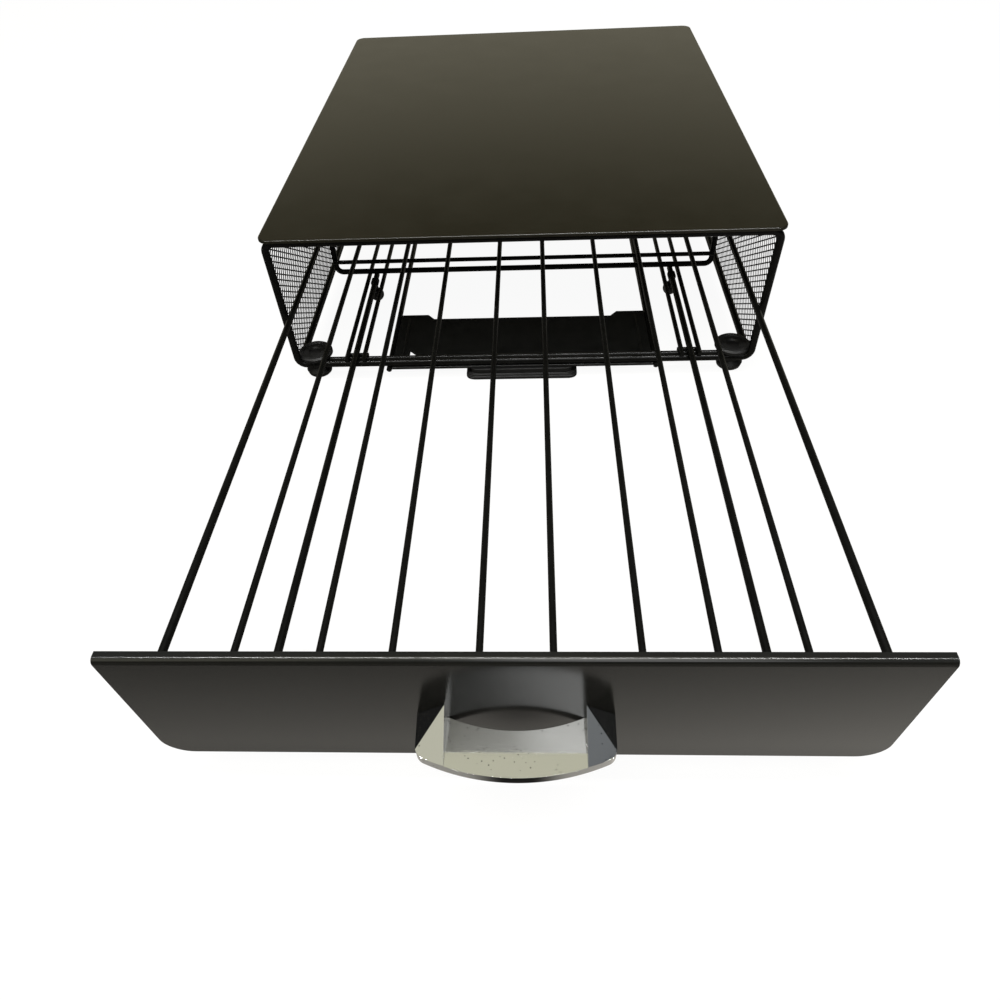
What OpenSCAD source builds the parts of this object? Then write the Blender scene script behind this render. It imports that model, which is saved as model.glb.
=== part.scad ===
// Coffee pod drawer: a low wire-and-sheet housing that carries a coffee machine,
// with one wire drawer that slides out at the front. Millimetres, +Z up, the
// drawer opens towards -Y. Left is -X, as seen by someone facing the drawer.

/* [Housing] */
// Width over the top panel
body_w = 330; // [300:1:380]
// Depth of the top panel, front to back
body_d = 410; // [380:1:460]
// Height of the top panel above the table
body_h = 110; // [100:1:125]
// Thickness of the top sheet
sheet_t = 1; // [0.8:0.1:1.5]
// Height of the turned-down edge of the top sheet
hem_h = 2; // [2:0.5:5]
// Corner radius of the top sheet
sheet_r = 8; // [4:1:14]
// Height of the wire frame's bottom edge above the table
frame_lift = 10.3; // [9:0.1:14]

/* [Wires] */
// Diameter of the housing's frame wire
frame_wire = 5; // [4:0.5:6]
// Bend radius of the frame wire, at its centre line
frame_bend = 6; // [6:1:12]
// Diameter of the cross wires behind the bottom rails
brace_wire = 3.6; // [3:0.1:4]
// Diameter of the four guide wires under the drawer
guide_wire = 3.3; // [3:0.1:3.5]
// Diameter of the two wires that brace the bottom
bottom_wire = 3.9; // [3:0.1:4.5]
// Distance of the drawer's runners from the outer side of the sheet
runner_inset = 45.5; // [43:0.5:52]
// Distance between the two guide wires of a pair
guide_pitch = 12.4; // [12:0.1:14]
// Distance of the bottom bracing wires from the outer side of the sheet
bottom_wire_inset = 69; // [67:1:80]

/* [Side mesh] */
// Height of one diamond of the expanded mesh
diamond_h = 7.5; // [7:0.5:15]
// Length of one diamond, front to back
diamond_l = 12; // [11:0.5:24]
// Width of the strands
strand_w = 1.5; // [1:0.1:2.5]
// Thickness of the mesh
mesh_t = 1.2; // [1:0.1:2]

/* [Feet] */
// Diameter of a corner foot's upper flange
foot_flange_d = 24.6; // [20:0.2:25]
// Diameter of a corner foot's tread
foot_tread_d = 17; // [14:0.5:20]
// Distance of a corner foot from the outer side of the sheet
foot_inset_x = 15; // [14:0.5:20]
// Distance of a corner foot from the sheet's front or back edge
foot_inset_y = 11.8; // [11.8:0.1:16]
// Width of the middle foot's tread
mid_foot_w = 80; // [60:1:90]
// Width of the middle foot's neck
mid_neck_w = 73; // [50:1:80]
// Depth of the carrier that holds the middle foot, without its ears
carrier_d = 60.7; // [45:0.1:70]

/* [Drawer] */
// How far the drawer stands open
pull_out = 287; // [0:1:320]
// Distance between the closed drawer's face and the sheet's front edge
closed_gap = 2.2; // [2.2:0.1:6]
// Gap between the drawer front and the frame's posts
front_gap = 1; // [1:0.5:6]
// Height of the drawer front
front_h = 80; // [70:0.1:83]
// Height of the drawer front's bottom edge above the table
front_lift = 16; // [16:0.5:20]
// Thickness of the drawer front's sheet
front_t = 1.2; // [1:0.1:1.6]
// Depth of the flange along the drawer front's top edge
front_flange = 4.6; // [4:0.1:8]
// Radius of the drawer front's bottom corners
front_r = 12; // [10:1:16]
// Distance from the drawer's face to the middle of its rear hoop
basket_d = 401.5; // [370:0.5:401.5]
// Height of the middle of the floor wires above the table
floor_z = 54.5; // [45:0.5:60]
// Diameter of the floor wires
floor_wire = 3.3; // [2.5:0.1:4]
// Diameter of the two outermost floor wires
edge_wire = 4; // [3:0.1:4]
// Diameter of the runners
runner_wire = 4.3; // [3:0.1:4.5]
// Diameter of the two hoops
hoop_wire = 4.2; // [3:0.1:4.5]
// Diameter of the drawer's cross wires
cross_wire = 3.2; // [2.5:0.1:3.5]
// Distance of the hoops' posts from the side of the drawer front
hoop_inset = 7; // [7:0.5:15]
// Distance of the outermost floor wires from the side of the drawer front
edge_inset = 2; // [2:0.5:6]
// Distance between the two wires that carry one row of pods
row_gap = 32; // [28:1:36]
// Height of the middle of the rear hoop's top wire
rear_hoop_top = 88; // [70:1:95]

/* [Handle] */
// Width of the handle
handle_w = 80; // [70:1:110]
// Reach of the handle in front of the drawer
handle_reach = 24.4; // [23:0.2:30]
// Height of the handle's top surface above the table
handle_z = 52; // [38:0.1:60]
// Thickness of the handle's bar
handle_t = 5; // [4:0.1:6]
// Rise of the side cheeks above the bar
cheek_h = 11; // [8:0.1:18]
// Fall of the bar towards its front, in degrees
handle_slope = 2; // [0:1:6]
// Diameter of the handle's screws
screw_d = 3.9; // [3:0.1:4]

/* [Hidden] */
$fn = 48;
// Gap left between pieces that touch
touch = 0.05;
// Gap between the runner and what it slides on
slide_gap = 0.1;
// Gap between a side rail and what meets it from inside
rail_gap = 0.1;

rail_z = frame_lift + frame_wire/2;
rail_top = frame_lift + frame_wire;
top_rail_z = body_h - sheet_t - frame_wire/2;
post_x = body_w/2 - sheet_t - frame_wire/2;
frame_y = sheet_t + frame_wire/2;
frame_back = sheet_t + frame_wire;
bend_offset = frame_bend*(1 - cos(45));
lower_rail_x = post_x - bend_offset;
lower_rail_z = rail_z + bend_offset;
runner_x = body_w/2 - runner_inset;
bottom_wire_x = body_w/2 - bottom_wire_inset;
brace_z = rail_top - brace_wire/2;
brace_end = lower_rail_x - frame_wire/2 - rail_gap;
brace_y = frame_y + sqrt(pow(frame_wire/2 + brace_wire/2 + touch, 2) - pow(brace_z - rail_z, 2));
guide_z = rail_top + guide_wire/2;
guide_inset = 0.5;
guide_start = sheet_t + guide_inset;
stop_gap = 0.75;
stop_y = brace_y + brace_wire/2 + guide_wire/2 + stop_gap;
bottom_wire_z = frame_lift - bottom_wire/2;
mesh_x = lower_rail_x + frame_wire/2 + rail_gap;
mesh_low = lower_rail_z - frame_wire/2;
mesh_top_gap = 0.5;
mesh_end_gap = 0.3;
mesh_high = body_h - sheet_t - mesh_top_gap;
mesh_start = frame_back + mesh_end_gap;
mesh_border = 2;

foot_flange_t = 4;
foot_seat_z = rail_top + 2*touch;
foot_slit = 2;
foot_edge = 0.8;
foot_hollow_r = 3;
foot_pit_r = 5;
foot_pit = 1.8;
flange_top = rail_top + foot_flange_t;
foot_waist_d = 13;
foot_tread_t = 5;
foot_x = body_w/2 - foot_inset_x;
carrier_t = 2;
carrier_w = 2*(bottom_wire_x - bottom_wire/2 - touch);
ear_d = 5.8;
ear_w = 21;
ear_slope = 5;
carrier_rib = 1;
rib_inset = 7;
window_inset = 11.5;
window_y = 12;
window_size = 8.8;
mid_foot_front = -3;
mid_foot_d = 16;
mid_foot_r = 5;
mid_tread_t = 4.4;
mid_edge = 1.2;
mid_lip = 2.5;

front_w = 2*(post_x - frame_wire/2 - front_gap);
front_bend = 2.6;
hoop_x = front_w/2 - hoop_inset;
runner_z = rail_top + slide_gap + runner_wire/2;
hoop_z = runner_z + runner_wire/2 + touch + hoop_wire/2;
hoop_bend = 5;
flange_gap = 1;
front_hoop_y = front_t + touch + hoop_wire/2;
front_hoop_top = front_lift + front_h - front_t - flange_gap;
cross_z = floor_z - floor_wire/2 - cross_wire/2 - touch;
front_cross_y = front_hoop_y + hoop_wire/2 + cross_wire/2 + touch;
rear_cross_y = basket_d - hoop_wire/2 - cross_wire/2 - touch;
back_brace_rise = 10.6;
back_brace_z = hoop_z + back_brace_rise;
edge_wire_x = front_w/2 - edge_inset;
row_pitch = (edge_wire_x - row_gap/2)/2;
wire_end = basket_d - hoop_wire/2 - touch;
glide_y = 392;
glide_head_d = 9.4;
glide_head_t = 7;
glide_head_z = 1;
glide_round = 3.2;
glide_stem_d = 3.6;
glide_wall = 1;
glide_clip_d = runner_wire + 2*glide_wall;
glide_clip_l = 5;

grip_x = 28.2;
front_arc_r = 96;
front_arc_y = handle_reach - front_arc_r;
corner_r = 5;
corner_x = handle_w/2 - corner_r;
corner_y = front_arc_y + sqrt(pow(front_arc_r - corner_r, 2) - pow(corner_x, 2));
join_x = corner_x*front_arc_r/(front_arc_r - corner_r);
step = 0.5;
cheek_front = front_arc_y + sqrt(pow(front_arc_r, 2) - pow(grip_x, 2));
cheek_foot_h = 3.3;
back_gap = 5.6;
back_x = grip_x - step;
back_arc_r = (back_x*back_x + back_gap*back_gap)/(2*back_gap);
screw_x = (grip_x + handle_w/2)/2;
screw_drop = 0.8;
screw_z = handle_z - screw_drop;
screw_in = 8;
screw_pit = 0.5;
screw_play = 0.4;
screw_head_d = 7.5;
screw_head_t = 2;

// The origin is under the middle of the whole object with the drawer open
middle_y = (body_d - pull_out - touch - handle_reach)/2;

// ---- places ----

// Housing pieces: Y = 0 is the front edge of the top sheet
module in_housing() translate([0, -middle_y, 0]) children();

// Drawer pieces: Y = 0 is the drawer's face
module in_drawer() translate([0, -middle_y - pull_out, 0]) children();

// The same piece at the front (end = 1) or mirrored to the back (end = -1)
module at_end(end) {
    if (end > 0) children();
    else translate([0, body_d, 0]) mirror([0, 1, 0]) children();
}

// The same piece on the right (side = 1) or mirrored to the left (side = -1)
module on_side(side) {
    if (side > 0) children();
    else mirror([1, 0, 0]) children();
}

// ---- shared shapes ----

module wire_y(d, x, z, from, to) translate([x, from, z]) rotate([-90, 0, 0]) cylinder(d = d, h = to - from);

module wire_x(d, y, z, from, to) translate([from, y, z]) rotate([0, 90, 0]) cylinder(d = d, h = to - from);

module wire_z(d, x, y, from, to) translate([x, y, from]) cylinder(d = d, h = to - from);

// A quarter bend in the XZ plane about (x, z), from angle start
module bend_xz(d, r, x, y, z, start) translate([x, y, z]) rotate([90, 0, 0]) rotate([0, 0, start])
    rotate_extrude(angle = 90) translate([r, 0]) circle(d = d);

// A closed wire loop in the XZ plane with round corners
module wire_loop(d, half_w, y, low, high, r) {
    wire_x(d, y, low, -half_w + r, half_w - r);
    wire_x(d, y, high, -half_w + r, half_w - r);
    for (side = [-1, 1]) wire_z(d, side*half_w, y, low + r, high - r);
    bend_xz(d, r, half_w - r, y, high - r, 0);
    bend_xz(d, r, -half_w + r, y, high - r, 90);
    bend_xz(d, r, -half_w + r, y, low + r, 180);
    bend_xz(d, r, half_w - r, y, low + r, 270);
}

// An open wire hoop: two posts joined at the bottom
module wire_hoop(d, half_w, y, low, high, r) {
    wire_x(d, y, low, -half_w + r, half_w - r);
    for (side = [-1, 1]) wire_z(d, side*half_w, y, low + r, high);
    bend_xz(d, r, -half_w + r, y, low + r, 180);
    bend_xz(d, r, half_w - r, y, low + r, 270);
}

module round_rect(w, d, r) {
    square([w - 2*r, d], center = true);
    square([w, d - 2*r], center = true);
    for (x = [-1, 1], y = [-1, 1]) translate([x*(w/2 - r), y*(d/2 - r)]) circle(r = r);
}

// ---- housing ----

// The sheet's edge: rounded over and turned down
module hem_profile() {
    translate([-sheet_t, body_h - hem_h]) square([sheet_t, hem_h - sheet_t]);
    intersection() {
        translate([-sheet_t, body_h - sheet_t]) circle(r = sheet_t);
        translate([-sheet_t, body_h - sheet_t]) square(sheet_t);
    }
}

module top_panel() in_housing() color("#2f2b20") translate([0, body_d/2, 0]) {
    translate([0, 0, body_h - sheet_t]) linear_extrude(sheet_t)
        round_rect(body_w - 2*sheet_t, body_d - 2*sheet_t, sheet_r - sheet_t);
    for (turn = [0, 1, 2, 3]) {
        across = turn % 2 == 0 ? body_w : body_d;
        along = turn % 2 == 0 ? body_d : body_w;
        rotate([0, 0, 90*turn]) {
            translate([across/2, along/2 - sheet_r, 0]) rotate([90, 0, 0])
                linear_extrude(along - 2*sheet_r) hem_profile();
            translate([across/2 - sheet_r, along/2 - sheet_r, 0]) rotate_extrude(angle = 90)
                translate([sheet_r, 0]) hem_profile();
        }
    }
}

module frame_ring(y, extra = 0)
    wire_loop(frame_wire + extra, post_x, y, rail_z, top_rail_z, frame_bend);

module front_frame() in_housing() color("#141413") frame_ring(frame_y);

module rear_frame() in_housing() color("#141413") frame_ring(body_d - frame_y);

module brace(extra = 0) wire_x(brace_wire + extra, brace_y, brace_z, -brace_end, brace_end);

module front_cross_wire() in_housing() color("#141413") at_end(1) brace();

module rear_cross_wire() in_housing() color("#141413") at_end(-1) brace();

module lower_rail(side, extra = 0, from = frame_back)
    wire_y(frame_wire + extra, side*lower_rail_x, lower_rail_z, from, body_d - from);

module upper_rail(side) in_housing() color("#141413")
    wire_y(frame_wire, side*lower_rail_x, top_rail_z, frame_back, body_d - frame_back);

module lower_rail_left() in_housing() color("#141413") lower_rail(-1);
module lower_rail_right() in_housing() color("#141413") lower_rail(1);
module upper_rail_left() upper_rail(-1);
module upper_rail_right() upper_rail(1);

// Expanded mesh in a plain border, upright against the side rails: rows of diamond holes,
// each row shifted by half a diamond
module side_mesh(side) in_housing() color("#191916") {
    length = body_d - 2*mesh_start;
    height = mesh_high - mesh_low;
    columns = floor((length - 2*mesh_border)/diamond_l);
    rows = floor(2*(height - 2*mesh_border)/diamond_h) - 1;
    shrink = 1 - strand_w*norm([diamond_h, diamond_l])/(diamond_h*diamond_l);
    half_l = diamond_l/2*shrink;
    half_h = diamond_h/2*shrink;
    translate([side*(mesh_x + mesh_t/2) - mesh_t/2, mesh_start, mesh_low])
        rotate([90, 0, 90]) linear_extrude(mesh_t) difference() {
            square([length, height]);
            for (j = [0:rows - 1], i = [0:columns - 1 - j % 2])
                translate([length/2 + (i - (columns - 1 - j % 2)/2)*diamond_l,
                    height/2 + (j - (rows - 1)/2)*diamond_h/2])
                    polygon([[-half_l, 0], [0, -half_h], [half_l, 0], [0, half_h]]);
        }
}

module side_mesh_left() side_mesh(-1);
module side_mesh_right() side_mesh(1);

module guide(x) in_housing() color("#141413")
    wire_y(guide_wire, x, guide_z, guide_start, body_d - guide_start);

module guide_outer_left() guide(-runner_x - guide_pitch/2);
module guide_outer_right() guide(runner_x + guide_pitch/2);
module guide_inner_left() guide(-runner_x + guide_pitch/2);
module guide_inner_right() guide(runner_x - guide_pitch/2);

// Short wire that joins a pair of guides and stops the drawer's glide
module guide_stop(side) in_housing() color("#141413") {
    reach = guide_pitch/2 + guide_wire/2;
    wire_x(guide_wire, stop_y, rail_top - guide_wire/2 - touch, side*runner_x - reach, side*runner_x + reach);
}

module guide_stop_left() guide_stop(-1);
module guide_stop_right() guide_stop(1);

module bottom_wire(side) in_housing() color("#141413")
    wire_y(bottom_wire, side*bottom_wire_x, bottom_wire_z - touch, sheet_t, body_d - sheet_t);

module bottom_wire_left() bottom_wire(-1);
module bottom_wire_right() bottom_wire(1);

// ---- feet ----

// Plate under the front rail that carries the middle foot: a sloped ear at each end of its back,
// a rib beside each bracing wire, and a small window where it hooks over the left one
module foot_carrier() in_housing() color("#0d0d0c") translate([0, sheet_t, frame_lift - touch - carrier_t]) {
    ear_x = carrier_w/2 - ear_w;
    linear_extrude(carrier_t) difference() {
        polygon([[-carrier_w/2, 0], [carrier_w/2, 0], [carrier_w/2, carrier_d + ear_d],
            [ear_x, carrier_d + ear_d], [ear_x - ear_slope, carrier_d], [ear_slope - ear_x, carrier_d],
            [-ear_x, carrier_d + ear_d], [-carrier_w/2, carrier_d + ear_d]]);
        translate([window_inset - carrier_w/2, window_y])
            polygon([[0, 0], [window_size, 0], [0, window_size]]);
    }
    for (side = [-1, 1]) translate([side*(carrier_w/2 - rib_inset) - carrier_rib/2, window_y, carrier_t])
        cube([carrier_rib, carrier_d - window_y, carrier_rib]);
}

// Rubber foot with a waist: its tread is rounded at the ends and along its edges
module middle_foot() in_housing() color("#0b0b0b") translate([0, mid_foot_front + mid_foot_d/2, 0]) {
    neck_h = frame_lift - carrier_t - 2*touch;
    for (layer = [0:2]) {
        inset = layer == 1 ? 0 : mid_edge;
        from = layer == 1 ? mid_edge : 0;
        to = layer == 1 ? mid_tread_t - mid_edge : mid_tread_t;
        translate([0, 0, from]) linear_extrude(to - from)
            round_rect(mid_foot_w - 2*inset, mid_foot_d - 2*inset, mid_foot_r);
    }
    linear_extrude(neck_h) round_rect(mid_neck_w, mid_foot_d - 2*mid_lip, mid_foot_r);
}

// Outline of the spool, from its hollow tread up to the recess in its flange
module foot_profile() {
    tread_r = foot_tread_d/2;
    waist_r = foot_waist_d/2;
    flange_r = foot_flange_d/2;
    polygon([[0, foot_edge], [foot_hollow_r, foot_edge], [foot_hollow_r, 0], [tread_r - 1, 0], [tread_r, 1],
        [tread_r + foot_edge, foot_tread_t - 1], [tread_r, foot_tread_t], [waist_r, foot_tread_t + 2],
        [waist_r, foot_seat_z], [flange_r - foot_edge, foot_seat_z], [flange_r, foot_seat_z + foot_edge],
        [flange_r, flange_top - 1.2], [flange_r - 1.2, flange_top - 0.2], [flange_r - 2.6, flange_top],
        [flange_r - 4, flange_top - foot_edge], [foot_pit_r, flange_top - foot_edge],
        [foot_pit_r - 1, flange_top - foot_pit], [0, flange_top - foot_pit]]);
}

// Rubber spool that grips the frame where the rail and the cross wire pass
module corner_foot(side, end) in_housing() color("#0c0c0b") at_end(end) on_side(side) difference() {
    translate([foot_x, foot_inset_y, 0]) rotate_extrude() foot_profile();
    frame_ring(frame_y, 2*touch);
    brace(2*touch);
    lower_rail(1, 2*touch, frame_y);
    // No film of rubber is left between the rail and the cross wire
    translate([foot_x - foot_flange_d/2, frame_y, (rail_z + brace_z)/2 - foot_slit/2])
        cube([foot_flange_d, brace_y - frame_y, foot_slit]);
}

module foot_front_left() corner_foot(-1, 1);
module foot_front_right() corner_foot(1, 1);
module foot_rear_left() corner_foot(-1, -1);
module foot_rear_right() corner_foot(1, -1);

// ---- drawer ----

// Section through the front sheet: upright, bend and top flange
module front_section() {
    top = front_lift + front_h;
    translate([0, front_lift]) square([front_t, front_h - front_bend]);
    translate([front_bend, top - front_t]) square([front_flange - front_bend, front_t]);
    intersection() {
        translate([front_bend, top - front_bend]) difference() {
            circle(r = front_bend);
            circle(r = front_bend - front_t);
        }
        translate([0, top - front_bend]) square(front_bend);
    }
}

module drawer_front() in_drawer() color("#3a3934") difference() {
    intersection() {
        translate([-front_w/2, 0, 0]) rotate([90, 0, 90]) linear_extrude(front_w) front_section();
        translate([0, front_flange + 1, 0]) rotate([90, 0, 0]) linear_extrude(front_flange + 2) union() {
            translate([-front_w/2, front_lift + front_r]) square([front_w, front_h]);
            translate([-front_w/2 + front_r, front_lift]) square([front_w - 2*front_r, 2*front_r]);
            for (side = [-1, 1]) translate([side*(front_w/2 - front_r), front_lift + front_r])
                circle(r = front_r);
        }
    }
    for (side = [-1, 1]) wire_y(screw_d + screw_play, side*screw_x, screw_z, -1, front_t + 1);
}

module front_hoop() in_drawer() color("#141413")
    wire_hoop(hoop_wire, hoop_x, front_hoop_y, hoop_z, front_hoop_top, hoop_bend);

module rear_hoop() in_drawer() color("#141413")
    wire_loop(hoop_wire, hoop_x, basket_d, hoop_z, rear_hoop_top, hoop_bend);

module floor_cross(y) in_drawer() color("#141413")
    wire_x(cross_wire, y, cross_z, -edge_wire_x - edge_wire/2, edge_wire_x + edge_wire/2);

module floor_cross_front() floor_cross(front_cross_y);
module floor_cross_rear() floor_cross(rear_cross_y);

module back_brace() in_drawer() color("#141413")
    wire_x(cross_wire, rear_cross_y, back_brace_z, -hoop_x, hoop_x);

// One wire of the floor, counted from the left: two to each of the five rows of pods,
// the outermost ones thicker
module floor_bar(number) in_drawer() color("#141413") {
    row = floor((number - 1)/2) - 2;
    x = row*row_pitch + (number % 2 == 1 ? -row_gap/2 : row_gap/2);
    d = number == 1 || number == 10 ? edge_wire : floor_wire;
    wire_y(d, x, cross_z + cross_wire/2 + touch + d/2, front_t + touch, wire_end);
}

module floor_wire_1() floor_bar(1);
module floor_wire_2() floor_bar(2);
module floor_wire_3() floor_bar(3);
module floor_wire_4() floor_bar(4);
module floor_wire_5() floor_bar(5);
module floor_wire_6() floor_bar(6);
module floor_wire_7() floor_bar(7);
module floor_wire_8() floor_bar(8);
module floor_wire_9() floor_bar(9);
module floor_wire_10() floor_bar(10);

module runner(side) in_drawer() color("#141413")
    wire_y(runner_wire, side*runner_x, runner_z, front_t + touch, basket_d + hoop_wire/2);

module runner_left() runner(-1);
module runner_right() runner(1);

// Section across the glide's head, round at its edges
module glide_section()
    translate([glide_head_d/2, glide_head_t/2]) round_rect(glide_head_d, glide_head_t, glide_round);

// Plastic button on the runner; its head runs below the two guides and holds the drawer down
module glide(side) in_drawer() color("#0e0e0e") difference() {
    translate([side*runner_x, glide_y, 0]) {
        translate([0, 0, glide_head_z]) rotate_extrude() intersection() {
            translate([-glide_head_d/2, 0]) glide_section();
            square([glide_head_d/2, glide_head_t]);
        }
        translate([0, 0, glide_head_z + 1]) cylinder(d = glide_stem_d, h = runner_z - glide_head_z - 1);
        translate([0, glide_clip_l/2, runner_z]) rotate([90, 0, 0])
            cylinder(d = glide_clip_d, h = glide_clip_l);
    }
    wire_y(runner_wire + 2*touch, side*runner_x, runner_z, glide_y - glide_clip_l, glide_y + glide_clip_l);
}

module glide_left() glide(-1);
module glide_right() glide(1);

// ---- handle ----

// Plan of the bar: bowed front with round corners, hollow back
module handle_plan() mirror([0, 1]) difference() {
    union() {
        intersection() {
            translate([-join_x, 0]) square([2*join_x, handle_reach]);
            translate([0, front_arc_y]) circle(r = front_arc_r);
        }
        translate([-handle_w/2, 0]) square([handle_w, corner_y]);
        for (side = [-1, 1]) translate([side*corner_x, corner_y]) circle(r = corner_r);
    }
    translate([0, back_gap - back_arc_r]) circle(r = back_arc_r);
}

// Everything below the plane through three points
module below_plane(a, b, c) {
    across = cross(b - a, c - a);
    up = across.z < 0 ? -across : across;
    reach = 2*handle_w;
    translate(a) rotate([0, acos(up.z/norm(up)), atan2(up.y, up.x)])
        translate([-reach/2, -reach/2, -reach]) cube(reach);
}

// Wedge that leans against the drawer's face at one end of the bar
module cheek(side) {
    drop = cheek_front*tan(handle_slope);
    side_tip = [side*(grip_x + 2*step), 0, cheek_h];
    side_foot = [side*handle_w/2, 0, cheek_foot_h];
    side_front = [side*handle_w/2, -corner_y, step];
    front_tip = [side*grip_x, 0, cheek_h];
    front_foot = [side*grip_x, -cheek_front, step - drop];
    front_side = [side*handle_w/2, -corner_y, 2*step];
    intersection() {
        translate([side > 0 ? grip_x : -handle_w, -handle_reach, -handle_t/2])
            cube([handle_w - grip_x, handle_reach, cheek_h + handle_t]);
        below_plane(side_tip, side_foot, side_front);
        below_plane(front_tip, front_foot, front_side);
    }
}

module handle() in_drawer() color("#c9c9c6") translate([0, -touch, handle_z]) difference() {
    intersection() {
        translate([0, 0, -handle_w/2]) linear_extrude(handle_w) handle_plan();
        union() {
            rotate([handle_slope, 0, 0]) translate([-handle_w, -handle_w, -handle_t])
                cube([2*handle_w, 2*handle_w, handle_t]);
            for (side = [-1, 1]) cheek(side);
        }
    }
    for (side = [-1, 1]) wire_y(screw_d + 2*touch, side*screw_x, -screw_drop, -screw_in - screw_pit, 1);
}

module handle_screws() in_drawer() color("#8f8f8b") for (side = [-1, 1]) {
    wire_y(screw_d, side*screw_x, screw_z, -screw_in, front_t + touch);
    wire_y(screw_head_d, side*screw_x, screw_z, front_t + touch, front_t + touch + screw_head_t);
}

top_panel();
front_frame();
rear_frame();
front_cross_wire();
rear_cross_wire();
lower_rail_left();
lower_rail_right();
upper_rail_left();
upper_rail_right();
side_mesh_left();
side_mesh_right();
guide_outer_left();
guide_outer_right();
guide_inner_left();
guide_inner_right();
guide_stop_left();
guide_stop_right();
bottom_wire_left();
bottom_wire_right();
foot_carrier();
middle_foot();
foot_front_left();
foot_front_right();
foot_rear_left();
foot_rear_right();
drawer_front();
front_hoop();
rear_hoop();
floor_cross_front();
floor_cross_rear();
back_brace();
floor_wire_1();
floor_wire_2();
floor_wire_3();
floor_wire_4();
floor_wire_5();
floor_wire_6();
floor_wire_7();
floor_wire_8();
floor_wire_9();
floor_wire_10();
runner_left();
runner_right();
glide_left();
glide_right();
handle();
handle_screws();
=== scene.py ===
import math
import bpy
from mathutils import Matrix, Vector


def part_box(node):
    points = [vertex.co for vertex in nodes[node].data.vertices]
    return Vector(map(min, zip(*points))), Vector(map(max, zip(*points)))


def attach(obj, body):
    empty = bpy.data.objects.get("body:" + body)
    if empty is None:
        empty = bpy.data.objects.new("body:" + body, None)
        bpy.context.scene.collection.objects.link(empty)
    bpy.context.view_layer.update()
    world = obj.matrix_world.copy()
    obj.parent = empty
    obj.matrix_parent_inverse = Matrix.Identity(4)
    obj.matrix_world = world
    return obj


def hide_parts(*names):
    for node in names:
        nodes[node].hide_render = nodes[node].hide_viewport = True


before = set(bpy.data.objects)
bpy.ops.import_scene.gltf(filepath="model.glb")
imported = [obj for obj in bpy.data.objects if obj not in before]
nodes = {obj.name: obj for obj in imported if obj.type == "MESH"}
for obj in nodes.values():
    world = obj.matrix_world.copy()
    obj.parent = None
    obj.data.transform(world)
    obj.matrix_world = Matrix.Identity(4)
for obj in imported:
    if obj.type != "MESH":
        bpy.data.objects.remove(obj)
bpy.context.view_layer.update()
mm = 0.001

# ---- Camera ----
# A phone held above and in front of the open drawer, looking down into it. Its place is
# measured from the middle of the top sheet's front edge.
camera_aside = 8.1*mm
camera_ahead = 419*mm
camera_height = 329*mm
camera_pitch = math.radians(47.68)
camera_yaw = math.radians(3.99)
camera_roll = math.radians(-3.45)
sensor_mm = 36
lens_to_sensor = 0.722
panel_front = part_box("top_panel")[0].y
camera = bpy.data.objects.new("camera", bpy.data.cameras.new("camera"))
bpy.context.scene.collection.objects.link(camera)
camera.matrix_world = (Matrix.Translation((camera_aside, panel_front - camera_ahead, camera_height))
                       @ Matrix.Rotation(camera_yaw, 4, "Z")
                       @ Matrix.Rotation(math.pi/2 - camera_pitch, 4, "X")
                       @ Matrix.Rotation(camera_roll, 4, "Z"))
camera.data.sensor_width = sensor_mm
camera.data.lens = sensor_mm*lens_to_sensor
camera.data.clip_start = 10*mm
bpy.context.scene.camera = camera
bpy.context.scene.view_settings.view_transform = "Standard"


# ---- Room and lamps ----
# A room that is plain white where the camera looks past the drawer. What paint and chrome
# mirror of it is dimmer: a warm wall behind, grey ones in front, a cream ceiling, a window high
# on the left and three bright patches overhead.
def linear(code):
    """An sRGB colour such as "#2f2b20" as a linear one."""
    parts = [int(code[i:i + 2], 16)/255 for i in (1, 3, 5)]
    return [p/12.92 if p <= 0.04045 else ((p + 0.055)/1.055)**2.4 for p in parts] + [1]


def add(tree, kind, settings=None, **links):
    """Adds a node with its settings and links. A name such as _1 is an input by its number, and
    a _ within a link's name stands for a space."""
    node = tree.nodes.new("ShaderNode" + kind)
    for name, value in (settings or {}).items():
        if name == "stops":
            for position, colour in value[1:-1]:
                node.color_ramp.elements.new(position)
            for stop, (position, colour) in zip(node.color_ramp.elements, value):
                stop.position = position
                stop.color = linear(colour)
        elif name[0] == "_":
            node.inputs[int(name[1:])].default_value = value
        elif name in node.inputs:
            node.inputs[name].default_value = value
        else:
            setattr(node, name, value)
    for name, socket in links.items():
        end = int(name[1:]) if name[0] == "_" else name.replace("_", " ")
        tree.links.new(socket, node.inputs[end])
    return node


world = bpy.data.worlds.new("studio")
bpy.context.scene.world = world
world.use_nodes = True
sky = world.node_tree
sky.nodes.clear()
coords = add(sky, "TexCoord")
way = coords.outputs["Generated"]
axes = add(sky, "SeparateXYZ", Vector=way)
# Each wall's colours go from the horizon, at 0, to straight up, at 1
rear_wall = [(0.0, "#b8b39f"), (0.28, "#b4af9b"), (0.35, "#9a9582"), (0.416, "#6a6657"),
             (0.463, "#33312a"), (0.88, "#4a473f"), (0.925, "#e6e4cc"), (1.0, "#e9e7d0")]
front_wall = [(0.0, "#2b2b2a"), (0.3, "#333333"), (0.5, "#4a4b4c"), (0.7, "#86898c"),
              (0.88, "#8d8f8e"), (0.93, "#e6e4cc"), (1.0, "#e9e7d0")]
behind = add(sky, "ValToRGB", {"stops": rear_wall}, Fac=axes.outputs["Z"])
ahead = add(sky, "ValToRGB", {"stops": front_wall}, Fac=axes.outputs["Z"])
facing = add(sky, "MapRange", {"From Min": 0.35, "From Max": 0.8}, Value=axes.outputs["Y"])
walls = add(sky, "MixRGB", Fac=facing.outputs[0], Color1=ahead.outputs[0], Color2=behind.outputs[0])
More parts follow.
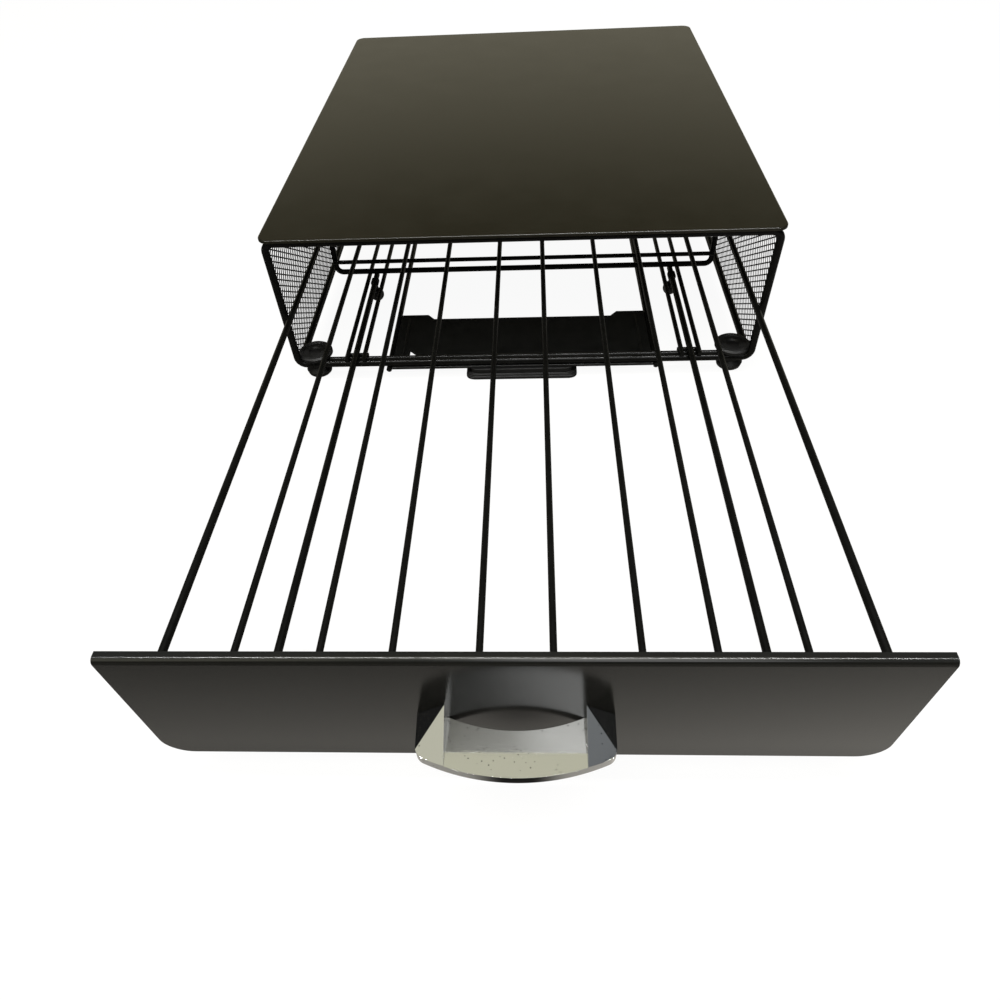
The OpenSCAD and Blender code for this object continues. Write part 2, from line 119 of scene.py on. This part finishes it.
window_way = Vector((-0.56, -0.49, 0.67)).normalized()
toward = add(sky, "VectorMath", {"operation": "DOT_PRODUCT", "_1": window_way}, _0=way)
window = add(sky, "MapRange", {"interpolation_type": "SMOOTHSTEP", "From Min": 0.9, "From Max": 0.96},
             Value=toward.outputs["Value"])
lit = add(sky, "MixRGB", {"Color2": linear("#eae8d4")}, Fac=window.outputs[0], Color1=walls.outputs[0])
# Each patch: its direction, the cosines of the angles to its rim and to its core, its strength
patches = (((0.1, -0.2, 0.975), 0.95, 0.985, 1.9),
           ((0.045, -0.364, 0.931), 0.9965, 0.9993, 3.0),
           ((0.14, -0.64, 0.755), 0.964, 0.99, 2.2))
for patch_way, rim, core, strength in patches:
    toward = add(sky, "VectorMath", {"operation": "DOT_PRODUCT", "_1": Vector(patch_way).normalized()},
                 _0=way)
    patch = add(sky, "MapRange", {"interpolation_type": "SMOOTHSTEP", "From Min": rim,
                                  "From Max": core, "To Max": strength}, Value=toward.outputs["Value"])
    lit = add(sky, "MixRGB", {"blend_type": "ADD", "Fac": 1.0},
              Color1=lit.outputs["Color"], Color2=patch.outputs[0])
room = add(sky, "Background", Color=lit.outputs["Color"])
white = add(sky, "Background", {"Color": linear("#ffffff"), "Strength": 1})
path = add(sky, "LightPath")
backdrop = add(sky, "MixShader", _0=path.outputs["Is Camera Ray"], _1=room.outputs[0], _2=white.outputs[0])
add(sky, "OutputWorld", Surface=backdrop.outputs[0])

# A broad lamp high on the left in front, which the surfaces don't mirror
lamp_aim = Vector((0, -50*mm, 0))
bpy.ops.object.select_all(action="DESELECT")
bpy.ops.object.light_add(type="AREA", location=(-0.5, -0.9, 1.7))
lamp = bpy.context.object
lamp.name = "lamp"
lamp.data.shape = "RECTANGLE"
lamp.data.size = 1.4
lamp.data.size_y = 0.8
lamp.data.energy = 22
lamp.data.color = linear("#fffaf0")[:3]
lamp.rotation_euler = (lamp_aim - lamp.location).to_track_quat("-Z", "Y").to_euler()
lamp.visible_glossy = False
lamp.visible_camera = False

# A long thin tube under the ceiling, which draws the fine line along each bend of the sheets
bpy.ops.object.select_all(action="DESELECT")
bpy.ops.object.light_add(type="AREA", location=(0, -0.25, 1.7))
tube = bpy.context.object
tube.name = "ceiling_tube"
tube.data.shape = "RECTANGLE"
tube.data.size = 2.2
tube.data.size_y = 0.03
tube.data.energy = 26
tube.visible_camera = False

# ---- Table ----
# A white table top. The camera sees it as plain white with a faint shadow of the object. What
# paint and chrome mirror of it is a glow with painted light and shade, dimmer because the drawer
# itself stands over it.
table_size = 8
plain_share = 0.93
below_handle = (0, -385*mm, 0)
bpy.ops.object.select_all(action="DESELECT")
bpy.ops.mesh.primitive_plane_add(size=table_size, location=(0, 0, 0))
floor = bpy.context.object
floor.name = "floor"
table = bpy.data.materials.new("white_table")
table.use_nodes = True
tree = table.node_tree
tree.nodes.clear()
matt = add(tree, "BsdfDiffuse", {"Color": linear("#efeee9")})
plain = add(tree, "Emission", {"Color": linear("#ffffff"), "Strength": 1.012})
seen = add(tree, "LightPath")
straight = add(tree, "Math", {"operation": "MULTIPLY", "_1": plain_share}, _0=seen.outputs["Is Camera Ray"])
coords = add(tree, "TexCoord")
across = add(tree, "SeparateXYZ", Vector=coords.outputs["Object"])
# Painted light: lighter from left to right
painted_light_slope = add(tree, "MapRange", {"From Min": -200*mm, "From Max": 200*mm, "To Min": 0.4, "To Max": 0.84},
            Value=across.outputs["X"])
# A painted shadow, nearly black, right below the handle's bar
from_handle = add(tree, "VectorMath", {"operation": "DISTANCE", "_1": below_handle},
                  _0=coords.outputs["Object"])
painted_shadow = add(tree, "MapRange", {"interpolation_type": "SMOOTHSTEP", "From Min": 10*mm, "From Max": 35*mm,
                               "To Min": 0.05}, Value=from_handle.outputs["Value"])
# A painted light strip across, below the drawer front, between greyer parts
inward = add(tree, "MapRange", {"From Min": -420*mm, "From Max": -220*mm}, Value=across.outputs["Y"])
painted_light_strip = add(tree, "ValToRGB", {"stops": [(0.0, "#8a8a8a"), (0.12, "#a8a8a8"), (0.36, "#ffffff"),
                                         (0.5, "#8e8e8e"), (1.0, "#868686")]}, Fac=inward.outputs[0])
amount = add(tree, "Math", {"operation": "MULTIPLY"}, _0=painted_light_slope.outputs[0], _1=painted_shadow.outputs[0])
amount = add(tree, "Math", {"operation": "MULTIPLY"}, _0=amount.outputs[0], _1=painted_light_strip.outputs[0])
painted_glow = add(tree, "Emission", {"Color": linear("#fffaf0")}, Strength=amount.outputs[0])
mirrored = add(tree, "MixShader", _0=seen.outputs["Is Glossy Ray"], _1=matt.outputs[0],
               _2=painted_glow.outputs[0])
surface = add(tree, "MixShader", _0=straight.outputs[0], _1=mirrored.outputs[0], _2=plain.outputs[0])
add(tree, "OutputMaterial", Surface=surface.outputs[0])
floor.data.materials.append(table)


# ---- Frame wires ----
# Drawn steel wire, bent, spot welded and powder coated black. The baked coat is satin and
# slightly pebbled, so that each wire carries one soft line of light.
def finish(name, **settings):
    """A material with one Principled shader, to which the caller adds the pattern."""
    material = bpy.data.materials.new(name)
    material.use_nodes = True
    tree = material.node_tree
    tree.nodes.clear()
    inputs = {key.replace("_", " "): value for key, value in settings.items()}
    shader = add(tree, "BsdfPrincipled", inputs)
    add(tree, "OutputMaterial", Surface=shader.outputs[0])
    return material, tree, shader


def pebble(tree, shader, grain_mm, depth_mm):
    """The fine orange peel of a baked coat or a moulded skin, as bump."""
    coords = add(tree, "TexCoord")
    peel = add(tree, "TexNoise", {"Scale": 1/(grain_mm*mm), "Detail": 2.0, "Roughness": 0.5},
               Vector=coords.outputs["Object"])
    bump = add(tree, "Bump", {"Strength": 1.0, "Distance": depth_mm*mm}, Height=peel.outputs["Fac"])
    tree.links.new(bump.outputs[0], shader.inputs["Normal"])


def handled(tree, shader, patch_mm, tints, gloss):
    """Slow changes of tint and of roughness over a surface, as handling and wiping leave them."""
    coords = add(tree, "TexCoord")
    cloud = add(tree, "TexNoise", {"Scale": 1/(patch_mm*mm), "Detail": 3.0, "Roughness": 0.6},
                Vector=coords.outputs["Object"])
    low, high = 0.35, 0.65
    tint = add(tree, "ValToRGB", {"stops": [(low, tints[0]), (high, tints[1])]}, Fac=cloud.outputs["Fac"])
    shine = add(tree, "MapRange", {"From Min": low, "From Max": high, "To Min": gloss[0],
                                   "To Max": gloss[1]}, Value=cloud.outputs["Fac"])
    tree.links.new(tint.outputs["Color"], shader.inputs["Base Color"])
    tree.links.new(shine.outputs[0], shader.inputs["Roughness"])


wire_coat, tree, shader = finish("powder_coated_wire", IOR=1.5, Specular_IOR_Level=0.22)
handled(tree, shader, 11, ("#070706", "#0a0a09"), (0.2, 0.28))
pebble(tree, shader, 0.9, 0.012)
for node in nodes.values():
    node.data.materials.clear()
    node.data.materials.append(wire_coat)

# ---- Top sheet ----
# Cold-rolled steel sheet, its edge rounded over and turned down. Its olive-black powder coat is
# satin and very even, so that it mirrors the room as one soft gradient without edges.
top_coat, tree, shader = finish("olive_black_powder_coat", IOR=1.5)
handled(tree, shader, 26, ("#121007", "#141209"), (0.205, 0.235))
pebble(tree, shader, 0.8, 0.006)
nodes["top_panel"].data.materials[0] = top_coat

# ---- Drawer front ----
# The same sheet, folded back along its top edge. Its warm grey-black powder coat is glossier
# than the top's, so that the handle shows in it as a dim, soft image.
front_coat, tree, shader = finish("grey_black_powder_coat", IOR=1.5)
handled(tree, shader, 22, ("#11110f", "#131311"), (0.145, 0.175))
pebble(tree, shader, 0.8, 0.005)
nodes["drawer_front"].data.materials[0] = front_coat

# ---- Side meshes ----
# Expanded steel: a thin sheet slit in staggered rows and stretched, so that the slits open
# into diamonds and each strand is twisted a little out of the sheet. Coated with the frame.
diamond_l = 6.8*mm
diamond_h = 4.4*mm
strand_w = 0.88*mm
strand_twist = 0.14*mm
strand_t = 0.34*mm
on_axis = 0.01*mm
seam = 0.02*mm


def twin(piece, name, step):
    """A copy of a finished piece, with a mesh of its own, moved by a step."""
    copy = piece.copy()
    copy.name = name
    copy.data = piece.data.copy()
    copy.data.transform(Matrix.Translation(step))
    bpy.context.scene.collection.objects.link(copy)
    return copy


low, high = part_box("side_mesh_left")
columns = math.ceil((high.y - low.y)/diamond_l) + 1
rows = math.ceil((high.z - low.z)/diamond_h) + 1
bpy.ops.object.select_all(action="DESELECT")
bpy.ops.mesh.primitive_circle_add(vertices=4, radius=1, fill_type="NGON", location=(0, 0, 0))
mesh = bpy.context.object
mesh.name = "expanded_mesh_left"
mesh.scale = (diamond_l/2, diamond_h/2, 1)
bpy.ops.object.transform_apply(location=False, rotation=False, scale=True)
bpy.ops.object.mode_set(mode="EDIT")
bpy.ops.mesh.select_all(action="SELECT")
bpy.ops.mesh.inset(thickness=strand_w/2, use_even_offset=True)
bpy.ops.mesh.delete(type="ONLY_FACE")
bpy.ops.object.mode_set(mode="OBJECT")
for vertex in mesh.data.vertices:
    if abs(vertex.co.x) < on_axis and abs(vertex.co.y) < diamond_h/2 - on_axis:
        vertex.co.z = strand_twist if vertex.co.y > 0 else -strand_twist
mesh.rotation_euler = (math.pi/2, 0, math.pi/2)
mesh.location = ((low.x + high.x)/2, low.y, low.z)
bpy.ops.object.transform_apply(location=True, rotation=True, scale=True)
for name, step, count in (("stagger", (0, diamond_l/2, diamond_h/2), 2),
                          ("columns", (0, diamond_l, 0), columns),
                          ("rows", (0, 0, diamond_h), rows)):
    repeat = mesh.modifiers.new(name, "ARRAY")
    repeat.use_relative_offset = False
    repeat.use_constant_offset = True
    repeat.constant_offset_displace = step
    repeat.count = count
    bpy.ops.object.modifier_apply(modifier=name)
bpy.ops.object.mode_set(mode="EDIT")
bpy.ops.mesh.select_all(action="SELECT")
bpy.ops.mesh.remove_doubles(threshold=seam)
for corner, side_of in ((low, -1), (high, 1)):
    for axis in ((0, side_of, 0), (0, 0, side_of)):
        bpy.ops.mesh.select_all(action="SELECT")
        bpy.ops.mesh.bisect(plane_co=corner, plane_no=axis, clear_outer=True)
bpy.ops.mesh.select_all(action="SELECT")
bpy.ops.mesh.normals_make_consistent(inside=False)
bpy.ops.object.mode_set(mode="OBJECT")
wall = mesh.modifiers.new("thickness", "SOLIDIFY")
wall.thickness = strand_t
wall.offset = 0
bpy.ops.object.modifier_apply(modifier="thickness")
mesh.data.materials.clear()
mesh.data.materials.append(wire_coat)
apart = Vector((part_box("side_mesh_right")[0].x - low.x, 0, 0))
meshes = {"left": mesh, "right": twin(mesh, "expanded_mesh_right", apart)}
for side, mesh in meshes.items():
    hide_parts("side_mesh_" + side)
    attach(mesh, "housing")

# ---- Feet and their carrier ----
# Moulded black rubber: four spools, and the long middle foot, pressed over the edge of an
# injection-moulded carrier plate. The rubber is matt, with no clear highlight, and the plate a
# little smoother. Both leave the mould with small round edges.
rubber, tree, shader = finish("moulded_rubber", IOR=1.5)
handled(tree, shader, 7, ("#0a0a0a", "#0f0f0f"), (0.44, 0.58))
pebble(tree, shader, 0.5, 0.01)
for name in ("foot_front_left", "foot_front_right", "foot_rear_left", "foot_rear_right"):
    nodes[name].data.materials[0] = rubber
plastic, tree, shader = finish("moulded_polypropylene", IOR=1.49)
handled(tree, shader, 9, ("#0b0c0c", "#0f1010"), (0.36, 0.48))
pebble(tree, shader, 0.7, 0.01)


def pick(piece):
    """Makes a piece the active one and the only one that is selected."""
    bpy.ops.object.select_all(action="DESELECT")
    piece.select_set(True)
    bpy.context.view_layer.objects.active = piece


def rounded(node, name, body, material, round_mm, edge_angle=30, tips=()):
    """A copy of a hard-edged piece that stands for it, with round edges where its faces meet at
    more than edge_angle. What lies close to a tip is first drawn together into it."""
    tip_reach = 2*mm
    seam = 0.002*mm
    flat = math.radians(1)
    sharp = math.radians(edge_angle)
    piece = bpy.data.objects.new(name, nodes[node].data.copy())
    bpy.context.scene.collection.objects.link(piece)
    pick(piece)
    for vertex in piece.data.vertices:
        for tip in tips:
            if (vertex.co - tip).length < tip_reach:
                vertex.co = tip
    bpy.ops.object.mode_set(mode="EDIT")
    bpy.ops.mesh.select_all(action="SELECT")
    bpy.ops.mesh.customdata_custom_splitnormals_clear()
    bpy.ops.mesh.remove_doubles(threshold=seam)
    bpy.ops.mesh.dissolve_limited(angle_limit=flat)
    bpy.ops.mesh.normals_make_consistent(inside=False)
    bpy.ops.object.mode_set(mode="OBJECT")
    bpy.ops.object.shade_smooth_by_angle(angle=sharp)
    edge = piece.modifiers.new("rounding", "BEVEL")
    edge.width = round_mm*mm
    edge.segments = 3
    edge.limit_method = "ANGLE"
    edge.angle_limit = sharp
    bpy.ops.object.modifier_apply(modifier="rounding")
    bpy.ops.object.shade_smooth()
    even = piece.modifiers.new("flat_faces", "WEIGHTED_NORMAL")
    even.weight = 100
    bpy.ops.object.modifier_apply(modifier="flat_faces")
    piece.data.materials.clear()
    piece.data.materials.append(material)
    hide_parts(node)
    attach(piece, body)


rounded("foot_carrier", "foot_carrier_plate", "housing", plastic, 0.35)
rounded("middle_foot", "middle_foot_pad", "housing", rubber, 0.4)

# ---- Glides ----
# Moulded buttons in the carrier's black plastic: a round head that hangs below the guide wires,
# on a short stem with a clip that snaps over the runner from below.
head_r = 5.5*mm
head_z = 6.6*mm
head_bottom = 1.6*mm
stem_r = 1.9*mm
stem_low = 7*mm
clip_l = 5*mm
clip_play = 0.05*mm
mouth_w = 3*mm
round_angle = math.radians(35)


def carve(piece, tools):
    """Joins tool bodies to a piece or cuts it with them, and removes them."""
    pick(piece)
    for kind, tool in tools:
        cut = piece.modifiers.new("cut", "BOOLEAN")
        cut.operation = kind
        cut.object = tool
        bpy.ops.object.modifier_apply(modifier="cut")
        bpy.data.objects.remove(tool)


runner_low, runner_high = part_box("runner_left")
runner_r = (runner_high.x - runner_low.x)/2
runner_z = (runner_low.z + runner_high.z)/2
low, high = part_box("glide_left")
middle = Vector(((low.x + high.x)/2, (low.y + high.y)/2, 0))
clip_r = high.z - runner_z
bpy.ops.object.select_all(action="DESELECT")
bpy.ops.mesh.primitive_uv_sphere_add(segments=40, ring_count=24, radius=head_r,
                                     location=middle + Vector((0, 0, head_z)))
glide = bpy.context.object
glide.name = "glide_button_left"
bpy.ops.object.transform_apply(location=True, rotation=True, scale=True)
bpy.ops.object.mode_set(mode="EDIT")
bpy.ops.mesh.select_all(action="SELECT")
bpy.ops.mesh.bisect(plane_co=middle + Vector((0, 0, head_bottom)), plane_no=(0, 0, 1),
                    clear_inner=True, use_fill=True)
bpy.ops.object.mode_set(mode="OBJECT")
tools = []
for kind, radius, length, z, turn in (
        ("UNION", stem_r, runner_z - stem_low, (runner_z + stem_low)/2, 0),
        ("UNION", clip_r, clip_l, runner_z, math.pi/2),
        ("DIFFERENCE", runner_r + clip_play, 3*clip_l, runner_z, math.pi/2)):
    bpy.ops.object.select_all(action="DESELECT")
    bpy.ops.mesh.primitive_cylinder_add(vertices=40, radius=radius, depth=length, rotation=(turn, 0, 0),
                                        location=middle + Vector((0, 0, z)))
    tools.append((kind, bpy.context.object))
bpy.ops.object.select_all(action="DESELECT")
bpy.ops.mesh.primitive_cube_add(size=1, location=middle + Vector((0, 0, runner_z + clip_r)))
mouth = bpy.context.object
mouth.scale = (mouth_w, 3*clip_l, 2*clip_r - runner_r)
tools.append(("DIFFERENCE", mouth))
carve(glide, tools)
bpy.ops.object.shade_smooth_by_angle(angle=round_angle)
glide.data.materials.clear()
glide.data.materials.append(plastic)
apart = Vector((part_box("glide_right")[0].x - low.x, 0, 0))
glides = {"left": glide, "right": twin(glide, "glide_button_right", apart)}
for side, glide in glides.items():
    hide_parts("glide_" + side)
    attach(glide, "drawer")

# ---- Handle ----
# Die-cast zinc, polished and chromium plated: a bowed bar with a three-sided cheek at each end,
# its edges rounded by the polishing wheel. The plate mirrors the room and the drawer front in
# clear facets, slightly wavy, with pits where it is thin and faint lines along the polish.
pit_pitch = 1.7*mm
thin_patch = 8*mm
hair_l = 9*mm
hair_w = 0.3*mm
facet_angle = 18
peak_depth = 0.01*mm
chrome, tree, shader = finish("chromium_plate", Metallic=1.0)
pebble(tree, shader, 6.0, 0.008)
coords = add(tree, "TexCoord")
# Real pits and polishing lines are finer; both are drawn as coarse as they need to show
cells = add(tree, "TexVoronoi", {"Scale": 1/pit_pitch}, Vector=coords.outputs["Object"])
pit = add(tree, "MapRange", {"From Min": 0.13, "From Max": 0.17}, Value=cells.outputs["Distance"])
cloud = add(tree, "TexNoise", {"Scale": 1/thin_patch, "Detail": 2.0}, Vector=coords.outputs["Object"])
sound = add(tree, "MapRange", {"From Min": 0.51, "From Max": 0.55, "To Min": 1.0, "To Max": 0.0},
            Value=cloud.outputs["Fac"])
whole = add(tree, "Math", {"operation": "MAXIMUM"}, _0=pit.outputs[0], _1=sound.outputs[0])
plate = add(tree, "ValToRGB", {"stops": [(0.0, "#2c2a27"), (1.0, "#c4c5c4")]}, Fac=whole.outputs[0])
tree.links.new(plate.outputs["Color"], shader.inputs["Base Color"])
along = add(tree, "Mapping", {"Scale": (1/hair_l, 1/hair_w, 1/hair_w)}, Vector=coords.outputs["Object"])
hairs = add(tree, "TexNoise", {"Scale": 1.0, "Detail": 4.0, "Roughness": 0.7}, Vector=along.outputs[0])
shine = add(tree, "MapRange", {"From Min": 0.45, "From Max": 0.75, "To Min": 0.04, "To Max": 0.16},
            Value=hairs.outputs["Fac"])
tree.links.new(shine.outputs[0], shader.inputs["Roughness"])
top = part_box("handle")[1].z
peaks = [vertex.co for vertex in nodes["handle"].data.vertices if vertex.co.z > top - peak_depth]
tips = [min(peaks, key=lambda co: co.x).copy(), max(peaks, key=lambda co: co.x).copy()]
rounded("handle", "pull_handle", "drawer", chrome, 0.3, edge_angle=facet_angle, tips=tips)

# ---- Screws ----
# Zinc-plated steel pan heads with a cross recess, driven from behind the drawer front. The thin
# plating is pale grey and unevenly dull.
plated, tree, shader = finish("zinc_plated_steel", Metallic=1.0)
handled(tree, shader, 3, ("#a3a39c", "#b0b0a9"), (0.26, 0.4))
pebble(tree, shader, 1.0, 0.01)
low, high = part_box("handle_screws")
pan_r = (high.z - low.z)/2
pan_t = 2.0*mm
pan_round = 1.3*mm
rim_depth = 0.01*mm
shank_r = 1.95*mm
shank_l = high.y - pan_t/2 - low.y
cross_l = 4.2*mm
cross_w = 0.8*mm
cross_depth = 1.3*mm
screw_x = low.x + pan_r
screw_z = (low.z + high.z)/2
lying = (math.pi/2, 0, 0)
bpy.ops.object.select_all(action="DESELECT")
bpy.ops.mesh.primitive_cylinder_add(vertices=48, radius=pan_r, depth=pan_t, rotation=lying,
                                    location=(screw_x, high.y - pan_t/2, screw_z))
screw = bpy.context.object
screw.name = "handle_screw_left"
bpy.ops.object.transform_apply(location=True, rotation=True, scale=True)
bpy.ops.object.mode_set(mode="EDIT")
bpy.ops.mesh.select_all(action="DESELECT")
bpy.ops.object.mode_set(mode="OBJECT")
for edge in screw.data.edges:
    edge.select = all(screw.data.vertices[v].co.y > high.y - rim_depth for v in edge.vertices)
bpy.ops.object.mode_set(mode="EDIT")
bpy.ops.mesh.bevel(offset=pan_round, segments=5)
bpy.ops.object.mode_set(mode="OBJECT")
bpy.ops.object.select_all(action="DESELECT")
bpy.ops.mesh.primitive_cylinder_add(vertices=32, radius=shank_r, depth=shank_l, rotation=lying,
                                    location=(screw_x, low.y + shank_l/2, screw_z))
tools = [("UNION", bpy.context.object)]
for width, height in ((cross_w, cross_l), (cross_l, cross_w)):
    bpy.ops.object.select_all(action="DESELECT")
    bpy.ops.mesh.primitive_cube_add(size=1, location=(screw_x, high.y, screw_z))
    arm = bpy.context.object
    arm.scale = (width, 2*cross_depth, height)
    tools.append(("DIFFERENCE", arm))
carve(screw, tools)
bpy.ops.object.shade_smooth_by_angle(angle=round_angle)
screw.data.materials.clear()
screw.data.materials.append(plated)
apart = Vector((high.x - pan_r - screw_x, 0, 0))
for screw in (screw, twin(screw, "handle_screw_right", apart)):
    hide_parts("handle_screws")
    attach(screw, "drawer")

# ---- Welds ----
# Every crossing of two wires is spot welded: the wires sink into each other a little, and the
# squeezed steel stands round the joint as a small collar under the coat.
floor_wires = 10
collar_h = 1.5*mm
collar_r = 1.35*mm
waist = 0.8
blend_angle = math.radians(60)


def crossing(long_wire, cross_wire, above):
    """Where a wire that runs front to back lies above or below one that runs from side to side."""
    long_low, long_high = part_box(long_wire)
    cross_low, cross_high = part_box(cross_wire)
    thickness = cross_high.y - cross_low.y
    y = (cross_low.y + cross_high.y)/2
    z = (long_low.z + cross_low.z + thickness)/2 if above else (long_high.z + cross_low.z)/2
    return Vector(((long_low.x + long_high.x)/2, y, z))


joints = {"drawer": [], "housing": []}
for number in range(1, floor_wires + 1):
    for cross in ("floor_cross_front", "floor_cross_rear"):
        joints["drawer"].append(crossing("floor_wire_%d" % number, cross, True))
for side in ("left", "right"):
    for cross in ("front_hoop", "rear_hoop"):
        joints["drawer"].append(crossing("runner_" + side, cross, False))
    for guide in ("guide_outer_", "guide_inner_"):
        for cross in ("front_cross_wire", "rear_cross_wire", "front_frame", "rear_frame",
                      "guide_stop_" + side):
            joints["housing"].append(crossing(guide + side, cross, True))
    for cross in ("front_frame", "rear_frame"):
        joints["housing"].append(crossing("bottom_wire_" + side, cross, False))
for body, places in joints.items():
    first = places[0]
    bpy.ops.object.select_all(action="DESELECT")
    bpy.ops.mesh.primitive_circle_add(vertices=14, radius=collar_r, fill_type="NGON",
                                      location=first - Vector((0, 0, collar_h/2)))
    welds = bpy.context.object
    welds.name = "welds_" + body
    bpy.ops.object.transform_apply(location=True, rotation=True, scale=True)
    bpy.ops.object.mode_set(mode="EDIT")
    bpy.ops.mesh.select_all(action="SELECT")
    for scale in (waist, 1/waist):
        bpy.ops.mesh.extrude_region_move(TRANSFORM_OT_translate={"value": (0, 0, collar_h/2)})
        bpy.ops.transform.resize(value=(scale, scale, 1), center_override=first)
    bpy.ops.mesh.select_all(action="SELECT")
    bpy.ops.mesh.normals_make_consistent(inside=False)
    bpy.ops.object.mode_set(mode="OBJECT")
    collars = [twin(welds, "collar", place - first) for place in places[1:]]
    pick(welds)
    for collar in collars:
        collar.select_set(True)
    bpy.ops.object.join()
    bpy.ops.object.shade_smooth_by_angle(angle=blend_angle)
    welds.data.materials.clear()
    welds.data.materials.append(wire_coat)
    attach(welds, body)
